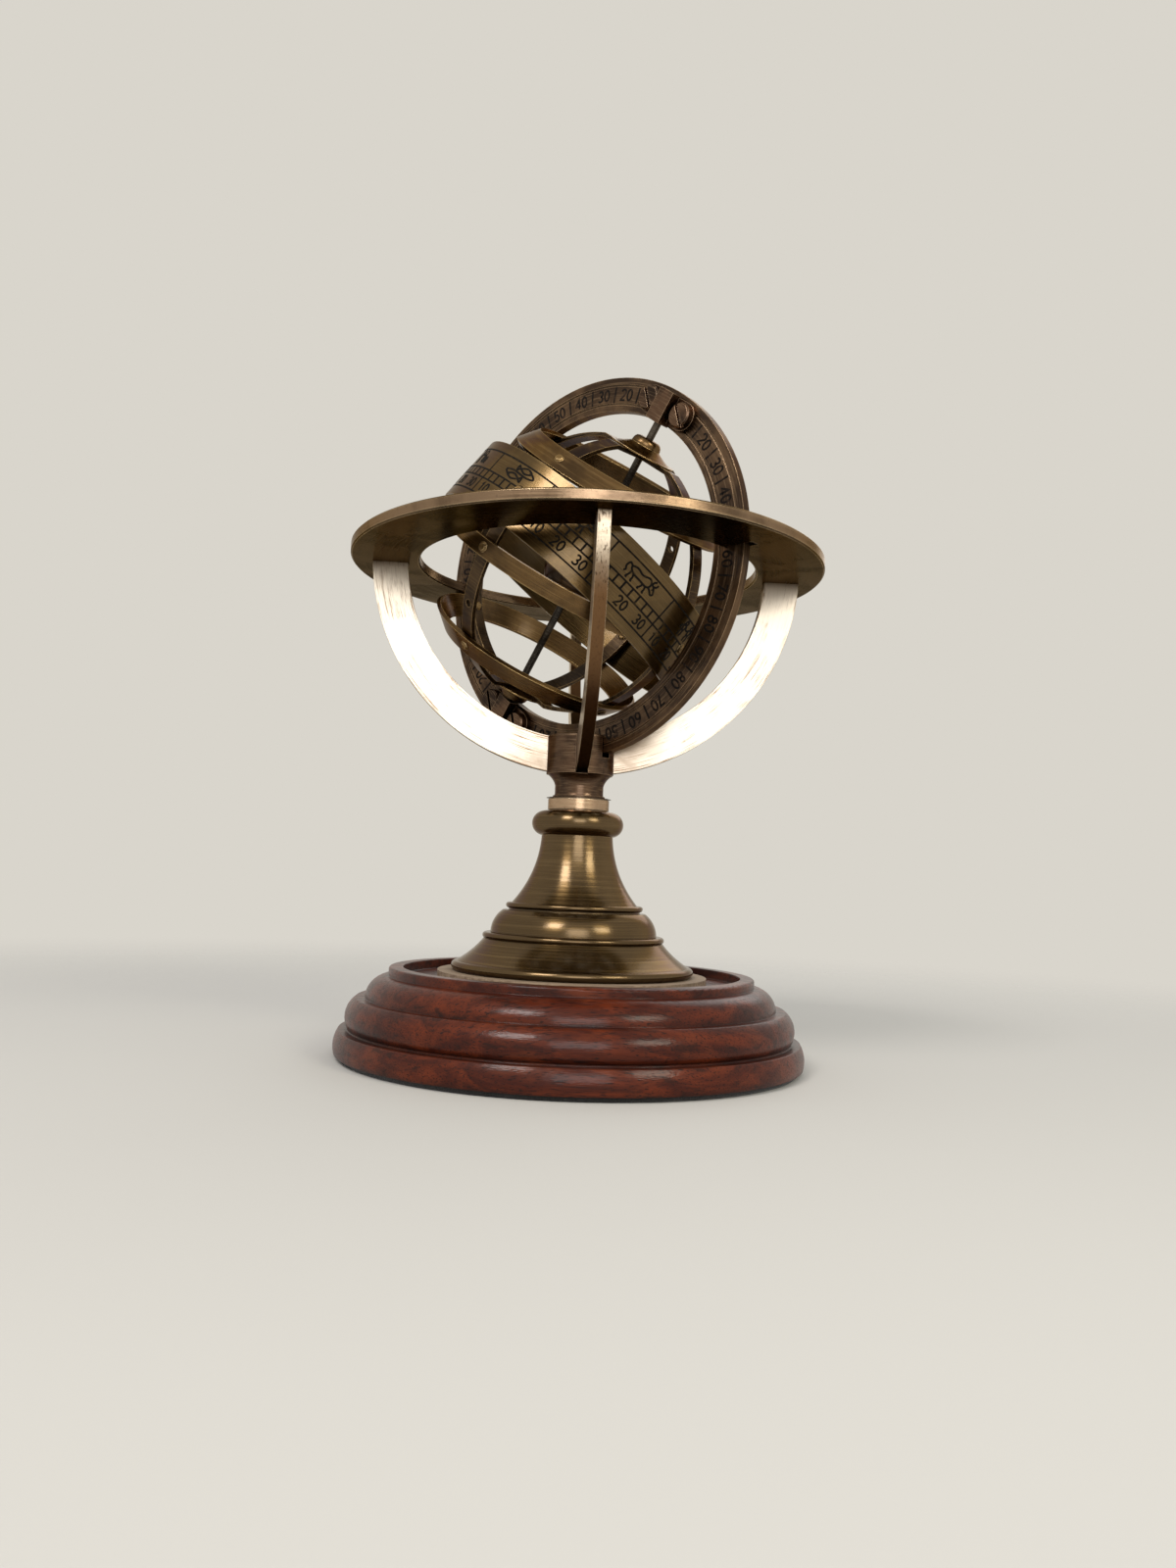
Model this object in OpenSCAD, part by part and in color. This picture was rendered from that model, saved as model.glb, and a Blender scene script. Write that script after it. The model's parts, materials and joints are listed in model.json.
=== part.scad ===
// Desk armillary sphere on a turned wooden base, in millimetres.
// A cage of graduated bands turns on a polar rod. The rod is clamped to a meridian ring,
// which slides in the notches of a horizon ring and in a slot of the hub below it.
// The origin is at the bottom centre of the base, +Z up, and -Y is the front.

/* [Felt pad] */
// How far the felt stays inside the widest moulding of the base
felt_inset = 1.4; // [1.2:0.1:6]
// Thickness of the felt
felt_t = 1; // [0.6:0.1:2]

/* [Wooden base] */
// Height of the wood
base_h = 17.5; // [16.5:0.5:24]
// Width of the floor of the dish between the pale disc and the rim
dish_w = 7.1; // [1:0.1:10]
// Depth of the dish
dish_depth = 2; // [1:0.1:3]
// Width of the rim of the dish
rim_w = 2.9; // [1.5:0.1:6]
// Height of the rim above the upper moulding
rim_h = 1.8; // [0.8:0.1:3]
// How far the middle moulding stands out from the upper one
mid_step = 3.9; // [3:0.1:6]
// Radius of the half round of the middle moulding
mid_round = 4.7; // [4.2:0.1:4.8]
// How far the lower moulding stands out from the middle one
low_step = 2.1; // [1.4:0.1:4]
// Radius of the round nose of the lower moulding
nose_r = 6; // [5.2:0.1:6.4]
// Gap around the washer in the well that hides the nut
well_gap = 1; // [0.2:0.1:3]
// Room under the nut for the end of the rod
nut_room = 1.4; // [0.8:0.1:3]

/* [Pedestal] */
// How far the pale disc under the foot shows around it
disc_rim = 2.8; // [0.4:0.1:5]
// Thickness of the pale disc
disc_t = 1.6; // [0.6:0.1:2.4]
// Radius of the foot's flange
foot_r = 25.6; // [23:0.2:27]
// Height of the foot
foot_h = 8.1; // [7:0.1:12]
// Wall of the hollow foot
foot_wall = 1.8; // [1.2:0.1:2.4]
// Radius of the bead on top of the foot
foot_bead_r = 19.3; // [18.2:0.1:21]
// Radius of the swelling at the bottom of the stem
swell_r = 17.65; // [16.5:0.1:18]
// Radius of the bead above the swelling
bead_r = 14.6; // [13.6:0.1:15.2]
// Height of the stem
stem_h = 26.1; // [23:0.1:32]
// Radius of the stem's waist under the knob
waist_r = 7.6; // [6:0.1:8.4]
// Radius of the knob
knob_r = 9.8; // [9:0.05:12]
// Height of the knob
knob_h = 5.3; // [4:0.1:6]
// Radius of the bright collar
collar_r = 6.55; // [5:0.05:7.2]
// Height of the bright collar
collar_h = 2.8; // [2:0.1:5]

/* [Hub] */
// Radius of the slotted hub
hub_r = 7.25; // [6.5:0.05:9]
// Height of the necked part under the slots
neck_h = 5.1; // [4:0.1:8]
// Smallest radius of the neck
neck_r = 5.2; // [4.6:0.05:6]
// How far the hub stands above the arms in it
hub_rise = 0.8; // [0.2:0.1:2]

/* [Tie rod] */
// Radius of the rod that ties base, pedestal and hub together
tie_r = 2; // [1.5:0.1:2.2]
// Thickness of the nut
nut_h = 2.8; // [2:0.1:3]
// Width of the nut across its flats
nut_flats = 7; // [6:0.1:8]
// Thickness of the washer
washer_t = 0.8; // [0.5:0.1:1.2]
// Radius of the washer
washer_r = 6; // [5:0.1:6.4]

/* [Cradle] */
// How far the cradle arms stay inside the edge of the horizon ring
arm_inset = 4.4; // [2:0.1:5]
// Width of the cradle arms
arm_w = 7.5; // [6:0.1:7.8]
// Thickness of the cradle arms
arm_t = 2.5; // [1.8:0.1:3]
// Width of the tenon that passes up through the horizon ring
tenon_w = 3; // [2:0.1:4]

/* [Horizon ring] */
// Outer radius
ring_out = 50.8; // [49:0.2:56]
// Gap between the ring and the turning cage
horizon_gap = 1.3; // [0.4:0.05:3]
// Thickness
ring_t = 2.3; // [1.6:0.1:3]
// Chamfer on its edges
ring_chamfer = 0.3; // [0.1:0.05:0.5]

/* [Meridian ring] */
// How far the meridian ring stays inside the edge of the horizon ring
meridian_inset = 9.4; // [8:0.1:12]
// Width
meridian_w = 7.2; // [6.6:0.1:8]
// Thickness
meridian_t = 2.05; // [1.6:0.05:2.6]
// Direction of its plane, from the front towards the right
meridian_turn = 45; // [40:1:50]
// Tilt of the polar rod from upright
pole_tilt = 35.5; // [28:0.5:50]
// Depth of the two dial grooves
groove_depth = 0.2; // [0.1:0.05:0.4]
// Width of the two dial grooves
groove_w = 0.35; // [0.2:0.05:0.6]
// Running gap between the ring and the notches and slot it slides in
slide_gap = 0.15; // [0.1:0.05:0.3]

/* [Pole clamps] */
// Width of the clamp block
clamp_w = 4; // [3.2:0.1:4.6]
// Height of the clamp block above the ring's face
clamp_h = 3.2; // [2.8:0.1:4]
// Thickness of the clamp's two ears
ear_t = 0.9; // [0.6:0.1:1.2]
// Rim of the clamp's round ears around the screw heads
ear_rim = 0.4; // [0.1:0.05:0.6]
// Gap between the screw heads and the clamp block
head_gap = 0.4; // [0.1:0.1:1]
// How far the block stands in past the inside of the ring
clamp_lip = 0.3; // [0:0.1:0.6]
// How far the block stays inside the outside of the ring
clamp_inset = 0.8; // [0.2:0.1:2]
// How far the screws sit inside the middle of the ring's width
screw_inset = 0.4; // [0:0.1:0.8]
// Radius of the screw heads
head_r = 2.6; // [2:0.1:2.7]
// Height of the screw heads
head_h = 1.4; // [1:0.1:2]
// Radius of the screw shanks
screw_r = 1.1; // [0.8:0.05:1.3]

/* [Polar rod and ball] */
// Radius of the polar rod
rod_r = 0.8; // [0.6:0.05:0.9]
// Radius of the ball at the centre
ball_r = 7.5; // [4:0.5:10]

/* [Cage] */
// Gap between the widest band of the cage and the meridian ring
cage_gap = 1.4; // [1.2:0.1:3]
// How far the cage hangs towards the south pole
cage_drop = 1.7; // [1:0.1:1.9]
// Turn of the cage about the polar rod
cage_turn = 6; // [0:1:359]
// Thickness of the colures, equator and small circles
band_t = 0.9; // [0.6:0.05:1.2]
// Width of the two colures
colure_w = 3.2; // [2.4:0.1:4]
// Width of the equator
equator_w = 3.5; // [2.4:0.1:4.5]
// Slant width of the two small circles
circle_w = 5.2; // [3:0.1:5.6]
// Latitude of the two small circles
circle_lat = 43; // [43:0.5:52]
// Width of the zodiac band
zodiac_w = 14.4; // [10:0.1:14.8]
// Thickness of the zodiac band
zodiac_t = 0.7; // [0.5:0.05:1]
// Tilt of the zodiac band from the equator
zodiac_tilt = 23.5; // [20:0.5:23.5]
// Radius of the brim of the pole caps
cap_r = 7.4; // [6:0.1:7.6]
// Thickness of the brim of the pole caps
brim_t = 0.6; // [0.4:0.05:0.8]
// Radius of the rivets that join the bands
rivet_r = 0.7; // [0.5:0.05:0.8]

/* [Hidden] */
$fn = 96;
// Extra length of a cutting tool beyond the face it opens
past = 1;
// Gap between parts that are fitted and do not move
fit = 0.05;
// Gap between bands that lie on each other
lay = 0.1;

// Radii that follow the horizon ring
arm_out = ring_out - arm_inset;
meridian_out = ring_out - meridian_inset;
meridian_in = meridian_out - meridian_w;

// Heights of the stack, from the table up
wood_top = felt_t + base_h;
dish_z = wood_top - dish_depth;
foot_z = dish_z + disc_t;
stem_z = foot_z + foot_h;
collar_z = stem_z + stem_h;
hub_z = collar_z + collar_h;
slots_z = hub_z + neck_h;
ring_top = slots_z + arm_out;
ring_bottom = ring_top - ring_t;
centre_z = (ring_top + ring_bottom) / 2;
hub_top = ring_top - (arm_out - arm_w) + hub_rise;
keel_z = centre_z - meridian_out - 2 * slide_gap;

// The well for the nut, and the rod, which ends in a blind thread under the meridian's slot
well_r = washer_r + well_gap;
well_depth = washer_t + nut_h + nut_room;
tie_top = keel_z - 1.2;
tie_bottom = felt_t + 0.6 * nut_room;
tie_hole_r = tie_r + fit;

// Base, from the disc under the foot outwards: dish, rim, and the three mouldings
nose_top = 0.27 * base_h;
band_top = 0.635 * base_h;
ovolo_r = base_h - rim_h - band_top;
disc_r = foot_r + disc_rim;
dish_r = disc_r + dish_w;
rim_r = dish_r + rim_w;
mid_r = rim_r + ovolo_r + mid_step;
base_r = mid_r + low_step;
felt_r = base_r - felt_inset;

// The arms stop short of the slot that crosses the hub between them
meridian_slot = meridian_t + 2 * slide_gap;
arm_root = max(arm_t / 2 + (meridian_slot / 2 + 0.4) / sin(40), tie_r + 1.2);
arm_slot = arm_t + 2 * fit;
tenon_at = arm_out - arm_w / 2;

// Meridian ring, clamps and rod, along the polar axis
clamp_in = meridian_in - clamp_lip;
clamp_out = meridian_out - clamp_inset;
clamp_mid = (meridian_in + meridian_out) / 2 - screw_inset;
screw_reach = clamp_w / 2 + head_gap + head_r;
ear_r = head_r + ear_rim;
rod_off = meridian_t / 2 + rod_r + 0.15;
rod_end = clamp_in + 5.2;
thrust_gap = 0.3;
notch_reach = meridian_out + 1.8;

// Cage, from the zodiac band inwards, and the horizon ring clear of it all round
cage_reach = meridian_in - cage_gap;
cage_aside = norm([rod_off, cage_drop * sin(pole_tilt)]);
ring_in = cage_reach + cage_aside + horizon_gap;
zodiac_out = sqrt(pow(cage_reach, 2) - pow(zodiac_w / 2, 2));
zodiac_in = zodiac_out - zodiac_t;
circle_out = zodiac_in - lay;
circle_in = circle_out - band_t;
colure_out = circle_in - lay;
colure_in = colure_out - band_t;
pole_flat = colure_out - 1.7;
cap_peak = clamp_in - thrust_gap - cage_drop;
cap_h = cap_peak - pole_flat;

// Points of a curve from p to q that bows out sideways by s in the middle
function bow(p, q, s, n = 10) = [for (i = [0:n]) let (t = i / n, d = q - p, k = 4 * s * t * (1 - t))
    p + t * d + k * [d[1], -d[0]] / norm(d)];

// Puts a piece that is drawn along +X, upright in the XZ plane, in the direction az
module towards(az) {
    rotate([0, 0, az - 90]) children();
}

// Frame of the meridian ring: X to the upper north side, -Y to the dial face
module meridian_frame() {
    translate([0, 0, centre_z]) towards(meridian_turn) children();
}

// Frame of the polar axis: +Z to the north pole, still centred on the meridian ring
module polar_frame() {
    meridian_frame() rotate([0, pole_tilt, 0]) children();
}

// Frame of the cage: the polar axis is Z and longitude 0 of the cage is -Y
module cage_frame() {
    polar_frame() translate([0, -rod_off, -cage_drop]) rotate([0, 0, cage_turn]) children();
}

// Turns +Z outwards from the centre of the cage at a longitude and a latitude
module outwards(lon, lat) {
    rotate([0, 0, lon]) rotate([-lat, 0, 0]) rotate([90, 0, 0]) children();
}

module felt_pad() {
    color("#1d1c1b") cylinder(r = felt_r, h = felt_t);
}

module base_profile() {
    // Lower moulding with a round nose
    intersection() {
        square([base_r, nose_top]);
        translate([base_r - nose_r, 0.27 * nose_r]) circle(r = nose_r);
    }
    square([base_r - nose_r, nose_top]);
    square([mid_r - 0.6, nose_top + 0.6]);
    // Middle moulding, a half round
    intersection() {
        translate([0, nose_top + 0.5]) square([base_r, band_top - nose_top - 0.5]);
        translate([mid_r - mid_round, nose_top + 0.55 * mid_round]) circle(r = mid_round);
    }
    square([mid_r - mid_round, band_top]);
    // Upper moulding, a quarter round under the rim of the dish
    intersection() {
        translate([0, band_top]) square([base_r, ovolo_r]);
        translate([rim_r, band_top]) circle(r = ovolo_r);
    }
    square([rim_r, base_h - 0.5]);
    translate([rim_r - 0.5, base_h - 0.5]) circle(r = 0.5);
    square([rim_r - 0.5, base_h]);
}

module wooden_base() {
    color("#5a2418") translate([0, 0, felt_t]) difference() {
        rotate_extrude() base_profile();
        translate([0, 0, base_h - dish_depth]) cylinder(r = dish_r, h = dish_depth + past);
        translate([0, 0, -past]) cylinder(r = tie_hole_r, h = base_h + 2 * past);
        translate([0, 0, -past]) cylinder(r = well_r, h = well_depth + past);
    }
}

module seat_disc() {
    color("#b5a88f") translate([0, 0, dish_z]) difference() {
        cylinder(r = disc_r, h = disc_t);
        translate([0, 0, -past]) cylinder(r = tie_hole_r, h = disc_t + 2 * past);
    }
}

module base_washer() {
    color("#8f8c84") translate([0, 0, felt_t + well_depth - washer_t]) difference() {
        cylinder(r = washer_r, h = washer_t);
        translate([0, 0, -past]) cylinder(r = tie_hole_r, h = washer_t + 2 * past);
    }
}

module base_nut() {
    color("#8f8c84") translate([0, 0, felt_t + well_depth - washer_t - nut_h]) difference() {
        cylinder(r = nut_flats / 2 / cos(30), h = nut_h, $fn = 6);
        translate([0, 0, -past]) cylinder(r = tie_hole_r, h = nut_h + 2 * past);
    }
}

module tie_rod() {
    color("#8f8c84") translate([0, 0, tie_bottom]) cylinder(r = tie_r, h = tie_top - tie_bottom);
}

// Outline of the foot: rounded flange, hollow flare and bead
module foot_outline() {
    flange_t = 2;
    bead_t = 1.3;
    square([foot_r - flange_t / 2, flange_t]);
    translate([foot_r - flange_t / 2, flange_t / 2]) circle(d = flange_t);
    polygon(concat([[0, 0]],
        bow([foot_r - 0.9, flange_t - 0.1], [foot_bead_r - 0.3, foot_h - bead_t], -0.35), [[0, foot_h]]));
    translate([0, foot_h - bead_t]) square([foot_bead_r - bead_t / 2, bead_t]);
    translate([foot_bead_r - bead_t / 2, foot_h - bead_t / 2]) circle(d = bead_t);
}

module pedestal_foot() {
    color("#8a7440") translate([0, 0, foot_z]) difference() {
        rotate_extrude() foot_outline();
        rotate_extrude() polygon([[0, -past], [foot_r - foot_wall - 1.4, -past],
            [foot_r - foot_wall - 1.4, 0.6], [foot_bead_r - 2 * foot_wall, foot_h - foot_wall],
            [0, foot_h - foot_wall]]);
        cylinder(r = tie_hole_r, h = foot_h + past);
    }
}

// Outline of the stem: swelling, bead, long hollow waist and knob
module stem_outline() {
    swell_h = 4.8;
    swell_curve = 5.9;
    bead_t = 1.2;
    bead_z = swell_h + 0.4;
    knob_z = stem_h - knob_h;
    intersection() {
        square([swell_r, swell_h]);
        translate([swell_r - swell_curve, 0]) circle(r = swell_curve);
    }
    square([swell_r - swell_curve, bead_z + bead_t]);
    square([bead_r - 0.6, bead_z]);
    translate([0, bead_z]) square([bead_r - bead_t / 2, bead_t]);
    translate([bead_r - bead_t / 2, bead_z + bead_t / 2]) circle(d = bead_t);
    polygon(concat([[0, bead_z]],
        bow([bead_r - 1.2, bead_z + bead_t - 0.05], [waist_r, knob_z + 0.3], -1.35, 14),
        [[0, knob_z + 0.3]]));
    translate([0, knob_z]) square([knob_r - knob_h / 2, knob_h]);
    translate([knob_r - knob_h / 2, knob_z + knob_h / 2]) circle(d = knob_h);
}

module pedestal_stem() {
    color("#8a7440") translate([0, 0, stem_z]) difference() {
        rotate_extrude() stem_outline();
        translate([0, 0, -past]) cylinder(r = tie_hole_r, h = stem_h + 2 * past);
    }
}

module collar() {
    color("#b08d45") translate([0, 0, collar_z]) difference() {
        rotate_extrude() {
            square([collar_r - 0.3, collar_h]);
            translate([0, 0.3]) square([collar_r, collar_h - 0.6]);
        }
        translate([0, 0, -past]) cylinder(r = tie_hole_r, h = collar_h + 2 * past);
    }
}

module hub_outline() {
    lip_h = 0.5;
    head = hub_top - slots_z;
    square([neck_r, neck_h + head]);
    square([neck_r + 0.4, lip_h]);
    polygon(concat([[0, lip_h - 0.01]], bow([neck_r + 0.1, lip_h], [hub_r - 0.3, neck_h], -0.85, 12),
        [[0, neck_h]]));
    translate([0, neck_h]) square([hub_r, head - 0.3]);
    square([hub_r - 0.3, 0.01]);
    translate([0, neck_h]) square([hub_r - 0.3, head]);
}

module hub() {
    color("#4b3527") difference() {
        translate([0, 0, hub_z]) rotate_extrude() hub_outline();
        translate([0, 0, hub_z - past]) cylinder(r = tie_hole_r, h = tie_top + 0.4 - hub_z + past);
        for (az = [0:90:270]) {
            towards(az) translate([arm_root - fit, -arm_slot / 2, slots_z - fit])
                cube([hub_r, arm_slot, hub_top - slots_z + past]);
        }
        towards(meridian_turn) translate([-hub_r - past, -meridian_slot / 2, keel_z])
            cube([2 * (hub_r + past), meridian_slot, hub_top - keel_z + past]);
    }
}

// One flat quarter arm, with its root in the hub and a tenon in the horizon ring
module cradle_arm(az) {
    color("#a08352") towards(az) translate([0, 0, ring_top]) rotate([90, 0, 0])
        linear_extrude(arm_t, center = true) {
            intersection() {
                difference() {
                    circle(r = arm_out, $fn = 180);
                    circle(r = arm_out - arm_w, $fn = 180);
                }
                translate([arm_root, -arm_out - past]) square([arm_out, arm_out + past - ring_t]);
            }
            translate([tenon_at - tenon_w / 2, -ring_t - 0.5]) square([tenon_w, ring_t + 0.5]);
        }
}

module cradle_arm_front() { cradle_arm(0); }
module cradle_arm_right() { cradle_arm(90); }
module cradle_arm_back() { cradle_arm(180); }
module cradle_arm_left() { cradle_arm(270); }

module horizon_ring() {
    c = ring_chamfer;
    color("#8d7242") difference() {
        translate([0, 0, ring_bottom]) rotate_extrude($fn = 180) polygon([
            [ring_in + c, 0], [ring_out - c, 0], [ring_out, c], [ring_out, ring_t - c],
            [ring_out - c, ring_t], [ring_in + c, ring_t], [ring_in, ring_t - c], [ring_in, c]]);
        for (az = [0:90:270]) {
            towards(az) translate([tenon_at - tenon_w / 2 - fit, -arm_slot / 2, ring_bottom - past])
                cube([tenon_w + 2 * fit, arm_slot, ring_t + 2 * past]);
        }
        towards(meridian_turn) translate([-notch_reach, -meridian_slot / 2, ring_bottom - past])
            cube([2 * notch_reach, meridian_slot, ring_t + 2 * past]);
    }
}

// Places of the four clamp screws, along the outward normal of the dial face
module at_clamp_screws() {
    for (pole = [0, 180]) {
        for (side = [-1, 1]) {
            polar_frame() rotate([0, pole, 0]) translate([side * screw_reach, 0, clamp_mid])
                rotate([90, 0, 0]) children();
        }
    }
}

module meridian_ring() {
    color("#6e5636") difference() {
        meridian_frame() rotate([90, 0, 0]) difference() {
            cylinder(r = meridian_out, h = meridian_t, center = true, $fn = 180);
            cylinder(r = meridian_in, h = meridian_t + past, center = true, $fn = 180);
            for (r = [meridian_in + 1.5, meridian_out - 1.7]) {
                translate([0, 0, meridian_t / 2 - groove_depth]) difference() {
                    cylinder(r = r + groove_w / 2, h = groove_depth + past, $fn = 180);
                    translate([0, 0, -past])
                        cylinder(r = r - groove_w / 2, h = groove_depth + 3 * past, $fn = 180);
                }
            }
        }
        at_clamp_screws() cylinder(r = screw_r + fit, h = meridian_t + past, center = true);
    }
}

// A block that grips the end of the polar rod, between two round ears
module pole_clamp(pole) {
    face = meridian_t / 2;
    color("#7c6044") polar_frame() rotate([0, pole, 0]) difference() {
        union() {
            translate([-clamp_w / 2, -face - clamp_h, clamp_in])
                cube([clamp_w, clamp_h, clamp_out - clamp_in]);
            translate([-screw_reach, -face - ear_t, clamp_mid - ear_r])
                cube([2 * screw_reach, ear_t, 2 * ear_r]);
            for (side = [-1, 1]) {
                translate([side * screw_reach, -face, clamp_mid]) rotate([90, 0, 0])
                    cylinder(r = ear_r, h = ear_t);
            }
        }
        for (side = [-1, 1]) {
            translate([side * screw_reach, -face + past, clamp_mid]) rotate([90, 0, 0])
                cylinder(r = screw_r + fit, h = ear_t + 2 * past);
        }
        translate([0, -rod_off, clamp_in - past])
            cylinder(r = rod_r + fit, h = rod_end - clamp_in + past + fit);
    }
}

module north_clamp() { pole_clamp(0); }
module south_clamp() { pole_clamp(180); }

module clamp_screws() {
    under_head = meridian_t / 2 + ear_t;
    slot_w = 0.7;
    slot_depth = 0.8;
    slot_turn = 140;
    color("#5d4a38") at_clamp_screws() difference() {
        union() {
            translate([0, 0, -meridian_t / 2 + fit]) cylinder(r = screw_r, h = under_head + meridian_t / 2);
            translate([0, 0, under_head]) cylinder(r = head_r, h = head_h - 0.3);
            translate([0, 0, under_head + head_h - 0.3]) cylinder(r1 = head_r, r2 = head_r - 0.3, h = 0.3);
        }
        rotate([0, 0, slot_turn]) translate([-head_r - past, -slot_w / 2, under_head + head_h - slot_depth])
            cube([2 * (head_r + past), slot_w, slot_depth + past]);
    }
}

module polar_rod() {
    color("#6b6258") polar_frame() translate([0, -rod_off, -rod_end]) cylinder(r = rod_r, h = 2 * rod_end);
}

module earth_ball() {
    color("#5f4022") cage_frame() difference() {
        sphere(r = ball_r);
        cylinder(r = rod_r + fit, h = 2 * ball_r + past, center = true);
    }
}

// A band through both poles, flattened under the caps and halved where the two cross.
// The outer half of its thickness is kept at the crossing, or else the inner half.
module colure(lon, keep_outer) {
    half = band_t / 2;
    width = colure_w + 2 * fit;
    holes = keep_outer ? [-circle_lat, -zodiac_tilt, 0, zodiac_tilt, circle_lat]
        : [-circle_lat, 0, circle_lat];
    notch_low = keep_outer ? pole_flat - band_t - past : pole_flat - half - fit / 2;
    color("#6d5230") cage_frame() difference() {
        rotate([0, 0, lon]) rotate([0, 90, 0]) linear_extrude(colure_w, center = true) difference() {
            intersection() {
                circle(r = colure_out, $fn = 180);
                square([2 * pole_flat, 3 * colure_out], center = true);
            }
            intersection() {
                circle(r = colure_in, $fn = 180);
                square([2 * (pole_flat - band_t), 3 * colure_out], center = true);
            }
        }
        for (pole = [0, 180]) {
            rotate([pole, 0, 0]) translate([0, 0, notch_low + (half + past) / 2 + (keep_outer ? fit / 4 : 0)])
                rotate([0, 0, pole == 0 ? lon : -lon])
                    cube([width, width, half + past + fit / 2], center = true);
        }
        cylinder(r = rod_r + 3 * fit, h = 3 * colure_out, center = true);
        for (side = [0, 180]) {
            for (lat = holes) {
                outwards(lon + side, side == 0 ? lat : -lat) cylinder(r = rivet_r + fit, h = 2 * colure_out);
            }
        }
    }
}

module solstice_colure() { colure(0, true); }
module equinox_colure() { colure(90, false); }

module equator_ring() {
    color("#8d6f3d") cage_frame() difference() {
        cylinder(r = circle_out, h = equator_w, center = true, $fn = 180);
        cylinder(r = circle_in, h = equator_w + past, center = true, $fn = 180);
        for (lon = [0:90:270]) outwards(lon, 0) cylinder(r = rivet_r + fit, h = 2 * circle_out);
    }
}

// A small circle, coned so that it lies flat on the sphere of the colures
module tropic_ring(side) {
    color("#8d6f3d") cage_frame() difference() {
        rotate_extrude($fn = 180) rotate(side * circle_lat)
            translate([circle_in, -circle_w / 2]) square([band_t, circle_w]);
        for (lon = [0:90:270])
            outwards(lon, side * circle_lat) cylinder(r = rivet_r + fit, h = 2 * circle_out);
    }
}

module north_tropic_ring() { tropic_ring(1); }
module south_tropic_ring() { tropic_ring(-1); }

module zodiac_band() {
    color("#94763c") cage_frame() rotate([-zodiac_tilt, 0, 0]) difference() {
        cylinder(r = zodiac_out, h = zodiac_w, center = true, $fn = 180);
        cylinder(r = zodiac_in, h = zodiac_w + past, center = true, $fn = 180);
        for (lon = [0:90:270]) outwards(lon, 0) cylinder(r = rivet_r + fit, h = 2 * zodiac_out);
    }
}

// A hat with a flared brim, seated on the flats of the colures
module pole_cap(pole) {
    dome_r = 0.45 * cap_r;
    flare_r = 0.88 * cap_r;
    flare_h = 0.52 * cap_h;
    color("#7f6338") cage_frame() rotate([pole, 0, 0]) translate([0, 0, pole_flat]) difference() {
        rotate_extrude() {
            square([cap_r, brim_t / 2]);
            polygon(concat([[0, 0]], bow([flare_r, brim_t / 2], [dome_r, flare_h], -0.1, 6),
                bow([dome_r - 0.05, flare_h], [rod_r + 0.35, cap_h], 0.75, 8), [[0, cap_h]]));
        }
        translate([0, 0, -past]) cylinder(r = rod_r + fit, h = cap_h + 2 * past);
    }
}

module north_cap() { pole_cap(0); }
module south_cap() { pole_cap(180); }

// A rivet from the inside of a colure to the outside of the outermost band
module rivet(outside) {
    head = 1.6 * rivet_r;
    head_t = 0.45;
    inside = colure_in - fit;
    translate([0, 0, inside - head_t]) cylinder(r1 = rivet_r, r2 = head, h = head_t);
    translate([0, 0, inside - 0.01]) cylinder(r = rivet_r, h = outside - inside + 0.02);
    translate([0, 0, outside + 0.01]) cylinder(r1 = head, r2 = rivet_r, h = head_t);
}

module cage_rivets() {
    color("#a3894f") cage_frame() {
        for (lon = [0:90:270]) {
            for (lat = [-circle_lat, circle_lat]) outwards(lon, lat) rivet(circle_out);
        }
        for (lon = [0, 180]) {
            outwards(lon, 0) rivet(circle_out);
            outwards(lon, lon == 0 ? zodiac_tilt : -zodiac_tilt) rivet(zodiac_out);
            outwards(lon + 90, 0) rivet(zodiac_out);
        }
    }
}

felt_pad();
wooden_base();
seat_disc();
base_washer();
base_nut();
tie_rod();
pedestal_foot();
pedestal_stem();
collar();
hub();
cradle_arm_front();
cradle_arm_right();
cradle_arm_back();
cradle_arm_left();
horizon_ring();
meridian_ring();
north_clamp();
south_clamp();
clamp_screws();
polar_rod();
earth_ball();
solstice_colure();
equinox_colure();
equator_ring();
north_tropic_ring();
south_tropic_ring();
zodiac_band();
north_cap();
south_cap();
cage_rivets();
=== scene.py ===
"""Desk armillary sphere: materials, engraving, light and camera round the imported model."""

import json
import math

import bpy
from mathutils import Matrix, Vector


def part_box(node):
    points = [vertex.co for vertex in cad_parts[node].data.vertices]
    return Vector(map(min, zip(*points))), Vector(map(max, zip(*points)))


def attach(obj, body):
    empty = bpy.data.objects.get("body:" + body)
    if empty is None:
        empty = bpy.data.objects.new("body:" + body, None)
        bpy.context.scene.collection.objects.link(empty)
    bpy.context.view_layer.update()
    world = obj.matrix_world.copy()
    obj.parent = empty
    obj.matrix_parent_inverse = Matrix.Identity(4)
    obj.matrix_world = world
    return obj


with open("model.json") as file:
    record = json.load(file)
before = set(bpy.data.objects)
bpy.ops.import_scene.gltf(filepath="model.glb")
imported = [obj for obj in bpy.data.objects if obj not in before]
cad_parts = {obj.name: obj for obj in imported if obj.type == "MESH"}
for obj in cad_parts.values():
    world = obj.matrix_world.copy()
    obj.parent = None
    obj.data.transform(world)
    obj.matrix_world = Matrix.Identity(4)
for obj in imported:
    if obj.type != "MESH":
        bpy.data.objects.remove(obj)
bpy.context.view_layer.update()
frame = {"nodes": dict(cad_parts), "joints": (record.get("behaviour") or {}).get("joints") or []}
NODES = frame["nodes"]

# Scales, and the two turns of the cage that the joints don't tell
MM = 0.001
CAGE_TURN = math.radians(6)
ZODIAC_TILT = math.radians(23.5)

# Engraved lines stand this far above the metal, and reach this far into it
PROUD = 0.03
SUNK = 0.05


# Axes of the moving parts, from the joints


def joint(name):
    """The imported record's joint of that name."""
    return next(j for j in frame["joints"] if j["name"] == name)


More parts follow.
